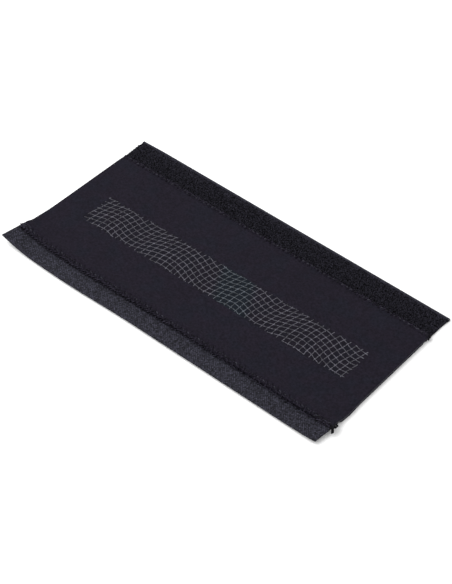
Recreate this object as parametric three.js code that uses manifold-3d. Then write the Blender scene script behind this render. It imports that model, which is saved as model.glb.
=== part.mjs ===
// Chainstay protector: a neoprene wrap, laid out flat as it comes to rest, in millimetres, +Z up.
// X runs along the guard. The hook tape is on the -Y side with its hooks down, and the loop tape
// is on the +Y side with its pile up. The middle of the sheet is flat, and two corners curl up.

import * as THREE from 'three';
import { mergeVertices } from 'three/addons/utils/BufferGeometryUtils.js';
import Module from 'manifold-3d';

const wasm = await Module();
wasm.setup();

// Neoprene panel
const PANEL_LENGTH = 250;
const PANEL_WIDTH = 100;
const PANEL_THICKNESS = 3;
const PINCHED_THICKNESS = 1.6; // where a seam squeezes the foam
const PINCH_RAMP = 3; // from the tape's buried edge to the foam's full depth
const EDGE_ROUND = 0.5;

// Hook tape, on the -Y side
const HOOK_TAPE_WIDTH = 20;
const HOOK_LAP = 6; // how far the tape runs under the panel
const HOOK_BACKING = 0.8;
const HOOK_HEIGHT = 1.2;
const HOOK_SELVAGE = 1.5;
const HOOK_LEFT_OVERHANG = 3.1; // of the outer corner, past the panel's end
const HOOK_LEFT_AT_SEAM = 0.8;
const HOOK_RIGHT_INSET = 1.5; // of the outer corner, short of the panel's end

// Loop tape, on the +Y side
const LOOP_TAPE_WIDTH = 25;
const LOOP_LAP = 4;
const LOOP_BACKING = 0.7;
const LOOP_CRUSHED = 0.3; // pile left under the panel
const LOOP_PILE = 1.7;
const LOOP_SELVAGE = 1.9;
const LOOP_SELVAGE_HEIGHT = 1.5;
const PILE_EDGE_HEIGHT = 1.8; // of the pile beside the selvage
const PILE_FADE = 5; // from there to the pile's full height
const PILE_BEVEL = 0.3;
const LOOP_LEFT_OVERHANG = 1.6; // of the outer corner, past the panel's end
const LOOP_LEFT_AT_SEAM = 1.2;

// Overcast seams
const HOOK_STITCH_PITCH = 4.17;
const HOOK_STITCH_REACH = 4.8; // of a stitch onto the panel, from its edge
const HOOK_STITCH_LEAN = 1.7;
const LOOP_STITCH_PITCH = 3.43;
const LOOP_STITCH_REACH = 2.8;
const LOOP_STITCH_LEAN = 0.8;
const THREAD = 0.7;
const SEAM_FRONT = 1; // of the thread roll, in front of the panel's edge
const SEAM_CAP = 1.1; // of the thread roll, over the panel's edge
const LEFT_TAIL = 1;
const RIGHT_TAIL = 2.2;

// Printed net
const PRINT_LENGTH = 210;
const PRINT_WIDTH = 27.3;
const PRINT_FROM_LEFT = 21.5;
const PRINT_FROM_NEAR = 34.8;
const PRINT_TURN = THREE.MathUtils.degToRad(0.35);
const PRINT_THICKNESS = 0.2;
const NET_PITCH_X = 4.083;
const NET_PITCH_Y = 4.065;
const NET_LINE = 0.5;
const NET_OFFSET_X = 0.88; // of the net's middle crossing from the print's middle
const NET_OFFSET_Y = 3.36;
const NET_SKEW = 0.0034; // share of its length by which a row drifts across the print
const WAVE_PERIOD = 105; // three waves fit into this once, twice and three times
const FIRST_WAVE_HEIGHT = 2.32;
const FIRST_WAVE_FROM = 42.5; // where the wave starts, from the print's middle
const SECOND_WAVE_HEIGHT = 2.72;
const SECOND_WAVE_FROM = 5.3;
const THIRD_WAVE_HEIGHT = 0.55;
const THIRD_WAVE_FROM = 11.4;
const SWAY = 0.16; // share of their height by which the waves also move the lines along the print
const LEAN = 3.74; // the lines across bow by this
const LEAN_PERIOD = 96;
const LEAN_FROM = 8;

// How the sheet lies
const LEFT_CURL = 5.4; // rise at the hook tape's left end
const LEFT_CURL_ALONG = 28;
const RIGHT_CURL = 1.6;
const RIGHT_CURL_ALONG = 24;
const TAPE_DROOP = 0.2; // share of the rise that the tape's outer edge loses
const NEAR_BOW = 1.2; // the near edge swells outwards by this
const NEAR_BOW_CENTRE = 50; // from the panel's left end
const NEAR_BOW_REACH = 60;

// Clearances between pieces that follow the curled sheet
const LAP_GAP = 0.3;
const PRINT_CLEAR = 1; // flat panel kept around the print

// Spacing of the sections along X, and steps across the curled margin
const CURL_STEP = 4;
const FLAT_STEP = 15;
const CURL_BANDS = 4;

const left = -PANEL_LENGTH / 2;
const right = PANEL_LENGTH / 2;
const near = -PANEL_WIDTH / 2;
const far = PANEL_WIDTH / 2;
const hookShown = HOOK_TAPE_WIDTH - HOOK_LAP;
const hookTop = HOOK_HEIGHT + HOOK_BACKING;
const loopMargin = LOOP_BACKING + LOOP_CRUSHED;
const loopTop = LOOP_BACKING + LOOP_PILE;
const curlAcross = PRINT_FROM_NEAR - PRINT_CLEAR;

// Height and plan of a point of the flat pattern as the sheet lies

function fadeOut(distance, reach) {
  const share = THREE.MathUtils.clamp(distance / reach, 0, 1);
  return (1 - share) ** 2;
}

function across(y, reach) {
  const beyond = THREE.MathUtils.clamp((near - y) / hookShown, 0, 1);
  return y < near ? 1 - TAPE_DROOP * beyond : fadeOut(y - near, reach);
}

function rise(x, y) {
  const fromLeft = x - (left - HOOK_LEFT_OVERHANG);
  const fromRight = right - x;
  const leftRise = LEFT_CURL * fadeOut(fromLeft, LEFT_CURL_ALONG) * across(y, curlAcross);
  const rightRise = RIGHT_CURL * fadeOut(fromRight, RIGHT_CURL_ALONG) * across(y, hookShown);
  return leftRise + rightRise;
}

function bow(x, y) {
  const offset = (x - left - NEAR_BOW_CENTRE) / NEAR_BOW_REACH;
  const swell = Math.abs(offset) < 1 ? (1 + Math.cos(Math.PI * offset)) / 2 : 0;
  const share = THREE.MathUtils.clamp(1 - (y - near) / curlAcross, 0, 1);
  return -NEAR_BOW * swell * share;
}

function settle(x, y, z) {
  return new THREE.Vector3(x, y + bow(x, y), z + rise(x, y));
}

// Cross-sections along X. Stations are close together only where the sheet curls.

function stations(from, to) {
  const places = [from];
  const curlEnd = left + LEFT_CURL_ALONG;
  const curlStart = right - RIGHT_CURL_ALONG;
  const bands = [[left, curlEnd, CURL_STEP], [curlEnd, curlStart, FLAT_STEP], [curlStart, right, CURL_STEP]];
  for (const [start, end, step] of bands) {
    const count = Math.ceil((end - start) / step);
    for (let i = 0; i < count; i += 1) places.push(start + ((end - start) * i) / count);
  }
  places.push(right, to);
  return [...new Set(places)].filter((x) => x >= from && x <= to);
}

function meshGeometry(points, triangles) {
  const geometry = new THREE.BufferGeometry();
  const positions = points.flatMap((point) => [point.x, point.y, point.z]);
  geometry.setAttribute('position', new THREE.Float32BufferAttribute(positions, 3));
  geometry.setIndex(triangles.flat());
  geometry.computeVertexNormals();
  return geometry;
}

// Sweeps a section, counterclockwise in Y and Z, along X. slantEnds moves the two end sections'
// points along X, so that a tape can be cut at an angle.
function loft(section, xs, slantEnds = (x) => x) {
  const size = section.length;
  const last = xs.length - 1;
  const points = [];
  xs.forEach((x, s) => {
    for (const [y, z] of section) {
      points.push(settle(s === 0 || s === last ? slantEnds(x, y) : x, y, z));
    }
  });
  const triangles = [];
  for (let s = 0; s < last; s += 1) {
    for (let i = 0; i < size; i += 1) {
      const a = s * size + i;
      const b = s * size + ((i + 1) % size);
      triangles.push([a, b, b + size], [a, b + size, a + size]);
    }
  }
  const outline = section.map(([y, z]) => new THREE.Vector2(y, z));
  for (const [a, b, c] of THREE.ShapeUtils.triangulateShape(outline, [])) {
    triangles.push([c, b, a], [a + last * size, b + last * size, c + last * size]);
  }
  return meshGeometry(points, triangles);
}

// Neoprene panel

const nearUnderside = hookTop + LAP_GAP;
const nearTop = nearUnderside + PINCHED_THICKNESS;
const farUnderside = loopMargin + LAP_GAP;
const farTop = farUnderside + PINCHED_THICKNESS;

// The curled margin needs points of its own across the panel
function curlSteps(from, to, z) {
  const steps = [];
  for (let i = 1; i <= CURL_BANDS; i += 1) steps.push([from + ((to - from) * i) / CURL_BANDS, z]);
  return steps;
}

function panelSection() {
  const nearFoot = near + HOOK_LAP + LAP_GAP;
  const farFoot = far - LOOP_LAP - LAP_GAP;
  const curlEnd = near + curlAcross;
  const nearFlat = nearFoot + PINCH_RAMP;
  const farFlat = farFoot - PINCH_RAMP;
  const underside = [
    [near, nearUnderside],
    [nearFoot, nearUnderside],
    [nearFlat, 0],
    ...curlSteps(nearFlat, curlEnd, 0),
    [farFlat, 0],
    [farFoot, farUnderside],
    [far, farUnderside],
  ];
  const top = [
    [far, farTop - EDGE_ROUND],
    [far - EDGE_ROUND, farTop],
    [farFoot, farTop],
    [farFlat, PANEL_THICKNESS],
    ...curlSteps(nearFlat, curlEnd, PANEL_THICKNESS).reverse(),
    [nearFlat, PANEL_THICKNESS],
    [nearFoot, nearTop],
    [near + EDGE_ROUND, nearTop],
    [near, nearTop - EDGE_ROUND],
  ];
  return [...underside, ...top];
}

// Hook tape: a woven backing over a bed of hooks

function hookTapeSection() {
  const outer = near - hookShown;
  const inner = near + HOOK_LAP;
  return [
    [outer, HOOK_HEIGHT],
    [outer + HOOK_SELVAGE, HOOK_HEIGHT],
    [outer + HOOK_SELVAGE, 0],
    [near, 0],
    [inner - HOOK_SELVAGE, 0],
    [inner - HOOK_SELVAGE, HOOK_HEIGHT],
    [inner, HOOK_HEIGHT],
    [inner, hookTop],
    [near, hookTop],
    [outer, hookTop],
  ];
}

function hookTapeEnds(x, y) {
  const outwards = (near - y) / hookShown;
  if (x > 0) return right - HOOK_RIGHT_INSET * Math.max(outwards, 0);
  return left - HOOK_LEFT_AT_SEAM - (HOOK_LEFT_OVERHANG - HOOK_LEFT_AT_SEAM) * outwards;
}

// Loop tape: a backing with the pile between the seam and the raised outer selvage

function loopTapeSection() {
  const inner = far - LOOP_LAP;
  const outer = inner + LOOP_TAPE_WIDTH;
  const pileStart = far + SEAM_FRONT + LAP_GAP;
  return [
    [inner, 0],
    [outer, 0],
    [outer, LOOP_SELVAGE_HEIGHT],
    [outer - LOOP_SELVAGE, LOOP_SELVAGE_HEIGHT],
    [outer - LOOP_SELVAGE - PILE_BEVEL, PILE_EDGE_HEIGHT],
    [outer - LOOP_SELVAGE - PILE_FADE, loopTop],
    [pileStart + PILE_BEVEL, loopTop],
    [pileStart, loopMargin],
    [inner, loopMargin],
  ];
}

function loopTapeEnds(x, y) {
  const outwards = THREE.MathUtils.clamp((y - far) / (LOOP_TAPE_WIDTH - LOOP_LAP), 0, 1);
  return x > 0 ? x : x - THREE.MathUtils.lerp(LOOP_LEFT_AT_SEAM, LOOP_LEFT_OVERHANG, outwards);
}

// Overcast seam: a roll of thread that wraps the panel's edge, and a stitch on every pitch that
// reaches onto the panel. side is -1 at the hook tape and 1 at the loop tape.

const HOOK_SEAM = {
  side: -1,
  edge: near,
  foot: hookTop + LAP_GAP,
  base: nearTop + LAP_GAP,
  pitch: HOOK_STITCH_PITCH,
  reach: HOOK_STITCH_REACH,
  lean: HOOK_STITCH_LEAN,
};
const LOOP_SEAM = {
  side: 1,
  edge: far,
  foot: loopMargin + LAP_GAP,
  base: farTop + LAP_GAP,
  pitch: LOOP_STITCH_PITCH,
  reach: LOOP_STITCH_REACH,
  lean: LOOP_STITCH_LEAN,
};

function solidOf(geometry) {
  const bare = geometry.clone();
  bare.deleteAttribute('normal');
  const merged = mergeVertices(bare);
  const vertProperties = new Float32Array(merged.attributes.position.array);
  const triVerts = new Uint32Array(merged.index.array);
  return new wasm.Manifold(new wasm.Mesh({ numProp: 3, vertProperties, triVerts }));
}

function geometryOf(solid) {
  const { vertProperties, triVerts } = solid.getMesh();
  const geometry = new THREE.BufferGeometry();
  geometry.setAttribute('position', new THREE.Float32BufferAttribute(vertProperties, 3));
  geometry.setIndex([...triVerts]);
  geometry.computeVertexNormals();
  return geometry;
}

function rollSection({ side, edge, foot, base }) {
  const crest = base + THREAD;
  const front = edge + side * SEAM_FRONT;
  const face = edge + side * LAP_GAP;
  const back = edge - side * SEAM_CAP;
  const section = [
    [front, foot],
    [front, crest - THREAD / 2],
    [front - side * EDGE_ROUND, crest],
    [back, crest],
    [back, crest - THREAD],
    [face, crest - THREAD],
    [face, foot],
  ];
  return side > 0 ? section : section.reverse();
}

function stitch({ side, edge, base, reach, lean }, x) {
  const ends = [
    { x: x + lean / 2, y: edge - side * SEAM_CAP / 2, half: THREAD / 2 },
    { x: x - lean / 2, y: edge - side * reach, half: THREAD / 4 },
  ];
  const points = [];
  for (const end of ends) {
    points.push(settle(end.x - end.half, end.y, base), settle(end.x + end.half, end.y, base));
    points.push(settle(end.x + end.half, end.y, base + THREAD / 2));
    points.push(settle(end.x - end.half, end.y, base + THREAD / 2));
  }
  const quads = [[0, 1, 2, 3], [5, 4, 7, 6], [1, 5, 6, 2], [4, 0, 3, 7], [3, 2, 6, 7], [4, 5, 1, 0]];
  const outward = side < 0 ? quads : quads.map((quad) => [...quad].reverse());
  return meshGeometry(points, outward.flatMap(([a, b, c, d]) => [[a, b, c], [a, c, d]]));
}

function seamGeometry(seam) {
  const xs = stations(left - LEFT_TAIL, right + RIGHT_TAIL);
  let thread = solidOf(loft(rollSection(seam), xs));
  const count = Math.floor(PANEL_LENGTH / seam.pitch);
  const first = -((count - 1) * seam.pitch) / 2;
  for (let i = 0; i < count; i += 1) {
    thread = thread.add(solidOf(stitch(seam, first + i * seam.pitch)));
  }
  return geometryOf(thread);
}

// Printed net: a square net of lines, bent by sine waves and cut off at a rectangle

function wave(distance, height, period, from) {
  return height * Math.sin((2 * Math.PI * (distance - from)) / period);
}

function netPoint(column, row) {
  const u = column * NET_PITCH_X;
  const v = row * NET_PITCH_Y;
  const first = wave(u, FIRST_WAVE_HEIGHT, WAVE_PERIOD, FIRST_WAVE_FROM);
  const second = wave(u, SECOND_WAVE_HEIGHT, WAVE_PERIOD / 2, SECOND_WAVE_FROM);
  const third = wave(u, THIRD_WAVE_HEIGHT, WAVE_PERIOD / 3, THIRD_WAVE_FROM);
  const swell = first + second + third;
  const bend = wave(v, LEAN, LEAN_PERIOD, LEAN_FROM) + SWAY * swell;
  return new THREE.Vector2(u + NET_OFFSET_X + bend, v + NET_OFFSET_Y + swell - NET_SKEW * u);
}

function insidePrint(point) {
  return Math.abs(point.x) <= PRINT_LENGTH / 2 && Math.abs(point.y) <= PRINT_WIDTH / 2;
}

// Share of the way from inner to outer at which a line leaves a band of this half width
function shareInside(inner, outer, half) {
  if (Math.abs(outer) <= half) return 1;
  return (half - Math.sign(outer) * inner) / (Math.abs(outer) - Math.sign(outer) * inner);
}

// Cuts the line from a point inside the print to one outside it at the print's border
function borderPoint(inner, outer) {
  const along = shareInside(inner.x, outer.x, PRINT_LENGTH / 2);
  const up = shareInside(inner.y, outer.y, PRINT_WIDTH / 2);
  return inner.clone().lerp(outer, Math.min(along, up));
}

const DIRECTIONS = [[1, 0], [0, 1], [-1, 0], [0, -1]];

// A crossing shows if it and at least one beside it are inside the print
function shows(column, row) {
  const inside = (c, r) => insidePrint(netPoint(c, r));
  return inside(column, row) && DIRECTIONS.some(([du, dv]) => inside(column + du, row + dv));
}

function netSheet() {
  const waves = FIRST_WAVE_HEIGHT + SECOND_WAVE_HEIGHT + THIRD_WAVE_HEIGHT;
  const bend = LEAN + SWAY * waves + Math.abs(NET_OFFSET_X);
  const swell = waves + Math.abs(NET_OFFSET_Y) + (NET_SKEW * PRINT_LENGTH) / 2;
  const columns = Math.ceil((PRINT_LENGTH / 2 + bend) / NET_PITCH_X);
  const rows = Math.ceil((PRINT_WIDTH / 2 + swell) / NET_PITCH_Y);
  const points = [];
  const faces = [];
  const crossings = new Map();
  const key = (column, row) => `${column},${row}`;
  for (let column = -columns; column <= columns; column += 1) {
    for (let row = -rows; row <= rows; row += 1) {
      if (!shows(column, row)) continue;
      const centre = netPoint(column, row);
      const along = netPoint(column + 1, row).sub(netPoint(column - 1, row)).setLength(NET_LINE / 2);
      const up = netPoint(column, row + 1).sub(netPoint(column, row - 1)).setLength(NET_LINE / 2);
      const first = points.length;
      // Corners in order: right-up, left-up, left-down, right-down
      for (const [a, b] of [[1, 1], [-1, 1], [-1, -1], [1, -1]]) {
        points.push(centre.clone().addScaledVector(along, a).addScaledVector(up, b));
      }
      faces.push([first, first + 1, first + 2, first + 3]);
      crossings.set(key(column, row), { column, row, centre, first });
    }
  }
  for (const { column, row, centre, first } of crossings.values()) {
    DIRECTIONS.forEach(([du, dv], d) => {
      const from = first + ((d + 3) % 4);
      const to = first + d;
      const next = crossings.get(key(column + du, row + dv));
      if (next) {
        if (d < 2) faces.push([from, next.first + ((d + 2) % 4), next.first + ((d + 1) % 4), to]);
        return;
      }
      const end = borderPoint(centre, netPoint(column + du, row + dv)).sub(centre);
      if (end.length() < NET_LINE) return;
      end.setLength(end.length() - NET_LINE / 2);
      points.push(points[from].clone().add(end), points[to].clone().add(end));
      faces.push([from, points.length - 2, points.length - 1, to]);
    });
  }
  return { points, faces };
}

function netGeometry() {
  const { points, faces } = netSheet();
  const centreX = left + PRINT_FROM_LEFT + PRINT_LENGTH / 2;
  const centreY = near + PRINT_FROM_NEAR + PRINT_WIDTH / 2;
  const placed = points.map((point) => point.clone().rotateAround(new THREE.Vector2(), PRINT_TURN));
  const layer = (z) => placed.map((point) => settle(point.x + centreX, point.y + centreY, z));
  const count = points.length;
  const triangles = [];
  const edges = new Map();
  for (const [a, b, c, d] of faces) {
    triangles.push([a, b, c], [a, c, d]);
    triangles.push([c + count, b + count, a + count], [d + count, c + count, a + count]);
    [[a, b], [b, c], [c, d], [d, a]].forEach(([p, q]) => edges.set(`${p},${q}`, [p, q]));
  }
  for (const [p, q] of edges.values()) {
    if (!edges.has(`${q},${p}`)) triangles.push([p, p + count, q + count], [p, q + count, q]);
  }
  const top = layer(PANEL_THICKNESS + PRINT_THICKNESS);
  return meshGeometry([...top, ...layer(PANEL_THICKNESS)], triangles);
}

// Materials and assembly

const jersey = new THREE.MeshStandardMaterial({ color: 0x26232c, roughness: 0.9, metalness: 0 });
const tapeBack = new THREE.MeshStandardMaterial({ color: 0x35343d, roughness: 0.85, metalness: 0 });
const pile = new THREE.MeshStandardMaterial({ color: 0x1e1d22, roughness: 1, metalness: 0 });
const thread = new THREE.MeshStandardMaterial({ color: 0x1b1a1e, roughness: 0.7, metalness: 0 });
const ink = new THREE.MeshStandardMaterial({ color: 0x64646e, roughness: 0.6, metalness: 0 });

function piece(name, geometry, material) {
  const mesh = new THREE.Mesh(geometry, material);
  mesh.name = name;
  return mesh;
}

const panelStations = stations(left, right);
const guard = new THREE.Group();
guard.add(
  piece('neoprene_panel', loft(panelSection(), panelStations), jersey),
  piece('hook_tape', loft(hookTapeSection(), panelStations, hookTapeEnds), tapeBack),
  piece('loop_tape', loft(loopTapeSection(), panelStations, loopTapeEnds), pile),
  piece('hook_seam_thread', seamGeometry(HOOK_SEAM), thread),
  piece('loop_seam_thread', seamGeometry(LOOP_SEAM), thread),
  piece('net_print', netGeometry(), ink),
);

// The origin is under the middle of the whole guard
const box = new THREE.Box3().setFromObject(guard);
const middle = box.getCenter(new THREE.Vector3());
guard.position.set(-middle.x, -middle.y, -box.min.z);

export default guard;
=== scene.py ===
"""Chainstay protector: a sewn neoprene wrap that lies flat on a pale floor.

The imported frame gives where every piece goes. The flat pattern is worked out in millimetres, with its
origin at the middle of the neoprene panel, and Lie turns it into the frame's metres as the sheet lies.
"""

import logging
import math
from collections.abc import Callable
from dataclasses import dataclass, field
from enum import Enum, IntEnum
from itertools import cycle

import bpy
import numpy as np
from mathutils import Matrix, Vector


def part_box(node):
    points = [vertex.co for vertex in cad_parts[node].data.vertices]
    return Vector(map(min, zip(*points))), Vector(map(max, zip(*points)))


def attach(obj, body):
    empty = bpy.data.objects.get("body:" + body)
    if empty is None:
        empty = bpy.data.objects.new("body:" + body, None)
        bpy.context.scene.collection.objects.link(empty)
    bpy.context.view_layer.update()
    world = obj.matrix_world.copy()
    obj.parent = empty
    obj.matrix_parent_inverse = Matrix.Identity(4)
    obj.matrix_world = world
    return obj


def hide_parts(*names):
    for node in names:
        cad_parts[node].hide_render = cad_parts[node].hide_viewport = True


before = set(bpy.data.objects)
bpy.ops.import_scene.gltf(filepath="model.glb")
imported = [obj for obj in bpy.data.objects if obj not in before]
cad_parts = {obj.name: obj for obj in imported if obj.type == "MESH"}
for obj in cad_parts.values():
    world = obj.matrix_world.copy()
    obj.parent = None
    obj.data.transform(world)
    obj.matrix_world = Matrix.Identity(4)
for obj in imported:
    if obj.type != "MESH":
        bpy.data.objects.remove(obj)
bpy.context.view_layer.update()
MM = 0.001
BODY = "root"
TURN = 2 * math.pi
TINY = 1e-12
SHARP = math.radians(50)
FOUR_WAYS = ((1, 0), (0, 1), (-1, 0), (0, -1))
Colour = tuple[float, float, float]
Point = tuple[float, float, float]
Tail = tuple[Point, ...]
Heights = Callable[[np.ndarray, np.ndarray], np.ndarray]
log = logging.getLogger("chainstay_protector")


class Side(Enum):
    """The long edge that a seam or a tape is on, as the sign of its Y."""

    HOOK = -1
    LOOP = 1


class Thread(IntEnum):
    """The threads of a seam, in the order of their material slots."""

    DARK = 0
    LIGHT = 1
    BODY = 2
    KNOT = 3


# How the sheet lies


def fade(distance: np.ndarray, reach: float) -> np.ndarray:
    """Falls from 1 to 0 over a reach, level where it ends.

    Args:
        distance: Distances from where the value is 1.
        reach: Distance at which it is 0.

    Returns:
        The share at each distance.
    """
    return (1 - np.clip(distance / reach, 0, 1)) ** 2


def ease(value: np.ndarray, start: float, end: float) -> np.ndarray:
    """Rises smoothly from 0 at start to 1 at end.

    Args:
        value: Values to ease.
        start: Value that gives 0.
        end: Value that gives 1.

    Returns:
        The eased share of each value.
    """
    share = np.clip((value - start) / (end - start), 0, 1)
    return share * share * (3 - 2 * share)


def ridge(value: np.ndarray, middle: float, width: float) -> np.ndarray:
    """Makes a soft ridge, 1 at its middle and 0 well away from it.

    Args:
        value: Places across the ridge.
        middle: Where its middle is.
        width: Distance from the middle at which little of it is left.

    Returns:
        The ridge's share at each place.
    """
    return np.exp(-(((value - middle) / width) ** 2))


def rounding(distance: np.ndarray, reach: float) -> np.ndarray:
    """Gives how far a rounded edge has fallen away, as a share of its depth.

    Args:
        distance: Distances from the edge.
        reach: Distance from the edge at which the rounding starts.

    Returns:
        The share at each distance: 1 on the edge, 0 from the reach inwards.
    """
    share = np.clip(1 - distance / reach, 0, 1)
    return 1 - np.sqrt(1 - share**2)


@dataclass(frozen=True)
class Lie:
    """Where the flat pattern lies: two curled corners and a bowed near edge. Sizes in millimetres."""

    origin_x: float
    origin_y: float
    length: float = 250.0
    width: float = 100.0
    hook_shown: float = 14.0
    loop_shown: float = 21.0
    overhang: float = 3.1
    left_curl: float = 5.4
    left_curl_along: float = 28.0
    right_curl: float = 1.6
    right_curl_along: float = 24.0
    curl_across: float = 33.8
    droop: float = 0.2
    bow_height: float = 1.2
    bow_centre: float = 50.0
    bow_reach: float = 60.0

    @classmethod
    def from_frame(cls) -> "Lie":
        """Finds the pattern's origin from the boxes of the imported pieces.

        Returns:
            How the sheet lies.
        """
        low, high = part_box("neoprene_panel")
        _, tape_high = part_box("loop_tape")
        far_edge = cls.width / 2 + cls.loop_shown
        return cls((low.x + high.x) / 2 / MM, tape_high.y / MM - far_edge)

    @property
    def right(self) -> float:
        """X of the panel's right end."""
        return self.length / 2

    @property
    def far(self) -> float:
        """Y of the panel's far edge."""
        return self.width / 2

    def rise(self, x: np.ndarray, y: np.ndarray) -> np.ndarray:
        """How far the curled corners lift a point.

        Args:
            x: Places along the guard.
            y: Places across it.

        Returns:
            The lift of each point.
        """
        beyond = np.clip((-self.far - y) / self.hook_shown, 0, 1)
        droop = 1 - self.droop * beyond
        inside = y + self.far
        left = np.where(inside < 0, droop, fade(inside, self.curl_across))
        right = np.where(inside < 0, droop, fade(inside, self.hook_shown))
        left = left * self.left_curl * fade(x + self.right + self.overhang, self.left_curl_along)
        return left + right * self.right_curl * fade(self.right - x, self.right_curl_along)

    def bow(self, x: np.ndarray, y: np.ndarray) -> np.ndarray:
        """How far the near edge's swelling moves a point along Y.

        Args:
            x: Places along the guard.
            y: Places across it.

        Returns:
            The shift of each point.
        """
        offset = np.clip((x + self.right - self.bow_centre) / self.bow_reach, -1, 1)
        share = np.clip(1 - (y + self.far) / self.curl_across, 0, 1)
        return -self.bow_height * (1 + np.cos(math.pi * offset)) / 2 * share

    def place(self, points: np.ndarray) -> np.ndarray:
        """Turns points of the flat pattern into the frame's metres.

        Args:
            points: Rows of X, Y and Z in millimetres.

        Returns:
            Rows of X, Y and Z in metres.
        """
        x, y, z = points.T
        laid = [x + self.origin_x, y + self.bow(x, y) + self.origin_y, z + self.rise(x, y)]
        return np.stack(laid, axis=1) * MM


# Meshes


@dataclass
class Shape:
    """A mesh in millimetres of the flat pattern, which grows by adding others."""

    points: np.ndarray = field(default_factory=lambda: np.zeros((0, 3)))
    faces: list[tuple[int, ...]] = field(default_factory=list)
    slots: list[int] = field(default_factory=list)
    marks: dict[str, np.ndarray] = field(default_factory=dict)

    def add(self, other: "Shape") -> "Shape":
        """Adds another shape's points and faces to this one.

        Args:
            other: The shape to add.

        Returns:
            This shape.
        """
        start = len(self.points)
        self.points = np.vstack([self.points, other.points])
        self.faces += [tuple(start + i for i in face) for face in other.faces]
        self.slots += other.slots
        for name, values in other.marks.items():
            before = self.marks.get(name, np.zeros(start))
            self.marks[name] = np.concatenate([before, values])
        return self

    def dressed(self, slot: int) -> "Shape":
        """Puts every face in one material slot.

        Args:
            slot: The slot's number.

        Returns:
            This shape.
        """
        self.slots = [slot] * len(self.faces)
        return self

    def piece(self, name: str, lie: Lie, finishes: list[bpy.types.Material]) -> bpy.types.Object:
        """Makes a smooth Blender object of the shape as it lies, and lets it ride on the frame.

        Args:
            name: The piece's name.
            lie: How the pattern lies.
            finishes: Its materials, in the order of the shape's slots.

        Returns:
            The piece.
        """
        mesh = bpy.data.meshes.new(name)
        mesh.from_pydata(lie.place(self.points).tolist(), [], self.faces)
        for finish in finishes:
            mesh.materials.append(finish)
        if self.slots:
            mesh.polygons.foreach_set("material_index", self.slots)
        for mark, values in self.marks.items():
            layer = mesh.attributes.new(mark, "FLOAT", "POINT")
            layer.data.foreach_set("value", values.astype(np.float32))
        mesh.shade_smooth()
        mesh.set_sharp_from_angle(angle=SHARP)
        mesh.update()
        piece = bpy.data.objects.new(name, mesh)
        bpy.context.scene.collection.objects.link(piece)
        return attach(piece, BODY)


def sweep(
    paths: np.ndarray, radius: np.ndarray | float, sides: int, lobes: float = 0.0, twist: float = 0.0
) -> Shape:
    """Makes closed tubes along paths that all have the same number of points.

    Args:
        paths: Points of each path, as path by point by XYZ.
        radius: The tubes' radius, as one number or path by point.
        sides: Sides of the tube.
        lobes: Depth of the two plies' grooves, as a share of the radius.
        twist: Turns of the plies for each point of the path.

    Returns:
        One shape that holds all the tubes.
    """
    count, steps, _ = paths.shape
    tangent = np.gradient(paths, axis=1)
    tangent /= np.linalg.norm(tangent, axis=2, keepdims=True) + TINY
    span = paths[:, -1] - paths[:, 0]
    upright = np.abs(span[:, 2:3]) > 0.8 * np.linalg.norm(span, axis=1, keepdims=True)
    guide = np.where(upright, [[1, 0, 0]], [[0, 0, 1]])
    side = np.cross(np.broadcast_to(guide[:, None], paths.shape), tangent)
    for i in range(1, steps):
        last = side[:, i - 1]
        side[:, i] = last - tangent[:, i] * np.sum(last * tangent[:, i], axis=1, keepdims=True)
    side /= np.linalg.norm(side, axis=2, keepdims=True) + TINY
    up = np.cross(tangent, side)
    angle = TURN * np.arange(sides) / sides
    plies = 1 + lobes * np.cos(2 * (angle[None] - TURN * twist * np.arange(steps)[:, None]))
    reach = np.broadcast_to(np.asarray(radius, float), (count, steps))[:, :, None] * plies[None]
    ring = side[:, :, None] * np.cos(angle)[:, None] + up[:, :, None] * np.sin(angle)[:, None]
    points = (paths[:, :, None] + reach[..., None] * ring).reshape(-1, 3)
    k, s, a = np.meshgrid(np.arange(count), np.arange(steps - 1), np.arange(sides), indexing="ij")
    near = (k * steps + s) * sides
    after = (a + 1) % sides
    quads = np.stack([near + a, near + after, near + after + sides, near + a + sides], axis=-1).reshape(-1, 4)
    faces = [tuple(quad) for quad in quads.tolist()]
    for path in range(count):
        first = path * steps * sides
        last = first + (steps - 1) * sides
        faces.append(tuple(first + i for i in reversed(range(sides))))
        faces.append(tuple(last + i for i in range(sides)))
    return Shape(points, faces, [0] * len(faces))


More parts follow.
